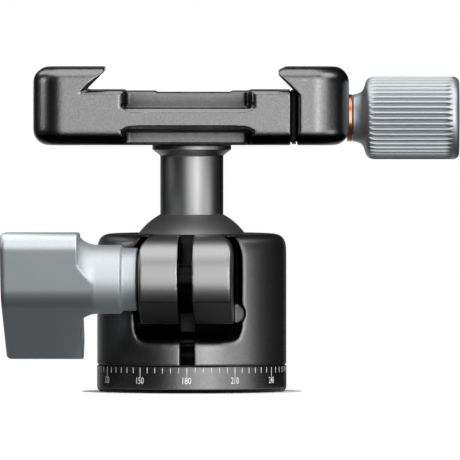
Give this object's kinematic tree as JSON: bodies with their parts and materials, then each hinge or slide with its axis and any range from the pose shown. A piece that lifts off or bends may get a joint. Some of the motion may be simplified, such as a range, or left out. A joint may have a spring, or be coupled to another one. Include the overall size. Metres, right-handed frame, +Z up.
{
  "type": "tripod ball head",
  "caption": "Small tripod ball head: panning base with a degree scale, housing pinched by a lever, ball and stem, and a plate clamp closed by a fluted knob.",
  "frame": {"origin": "centre of the base's underside, at the mouth of the tripod socket", "axes": "+Z up along the pan axis, +X along the plate clamp towards its knob, -Y towards the lock lever's side"},
  "size_m": [0.0871, 0.046, 0.0616],
  "materials": {
    "black_anodised": "bead-blasted and anodised black, satin",
    "black_ball": "turned smooth and hard-anodised black",
    "grey_anodised": "fine-blasted and anodised grey, satin",
    "steel": "turned stainless steel",
    "black_steel": "black oxide",
    "bronze": "plain turned",
    "copper": "anodised copper colour, satin",
    "plastic": "turned acetal, plain"
  },
  "bodies": {
    "base": {"pan_base": "black_anodised", "tripod_bush": "steel", "pan_friction_ring": "plastic"},
    "housing": {"housing": "black_anodised", "pan_screws": "black_steel", "ball_seat": "plastic", "disc_spring": "steel", "lug_bush": "bronze", "lug_insert": "steel"},
    "lever": {"lock_lever": "grey_anodised", "lock_stud": "steel", "lever_screw": "black_steel"},
    "ball": {"ball": "black_ball"},
    "stem": {"stem": "black_ball"},
    "clamp": {"clamp_base": "black_anodised", "clamp_screw": "steel", "clamp_screw_washer": "steel", "jaw_springs": "steel"},
    "jaw": {"clamp_jaw": "black_anodised", "guide_pins": "steel", "knob_washer": "copper"},
    "knob": {"clamp_knob": "grey_anodised", "clamp_stud": "steel", "stud_clip": "black_steel", "knob_set_screw": "black_steel"}
  },
  "joints": [
    {"name": "pan", "type": "hinge", "parent": "base", "child": "housing", "pos_m": [0, 0, 0], "axis": [0, 0, 1], "continuous": true},
    {"name": "lever_turn", "type": "hinge", "parent": "housing", "child": "lever", "pos_m": [-0.00092, -0.01818, 0.02155], "axis": [-0.9987, 0.0506, 0], "range_deg": [0, 100]},
    {"name": "ball_side_tilt", "type": "hinge", "parent": "housing", "child": "ball", "pos_m": [0, 0, 0.02257], "axis": [-0.0506, -0.9987, 0], "range_deg": [-26, 26]},
    {"name": "ball_fore_aft", "type": "hinge", "parent": "ball", "child": "stem", "pos_m": [0, 0, 0.02257], "axis": [-0.9987, 0.0506, 0], "range_deg": [-20, 90]},
    {"name": "ball_spin", "type": "hinge", "parent": "stem", "child": "clamp", "pos_m": [0, 0, 0.02257], "axis": [0, 0, 1], "continuous": true},
    {"name": "jaw_slide", "type": "slide", "parent": "clamp", "child": "jaw", "axis": [1, 0, 0], "range_m": [0, 0.00508], "deforming": ["jaw_springs"]},
    {"name": "knob_turn", "type": "hinge", "parent": "jaw", "child": "knob", "pos_m": [0.03, 0, 0.0519], "axis": [1, 0, 0], "range_deg": [0, 1440]}
  ],
  "couplings": [
    {"joint": "knob_turn", "follows": "jaw_slide", "rad_per_m": 4947.4}
  ]
}
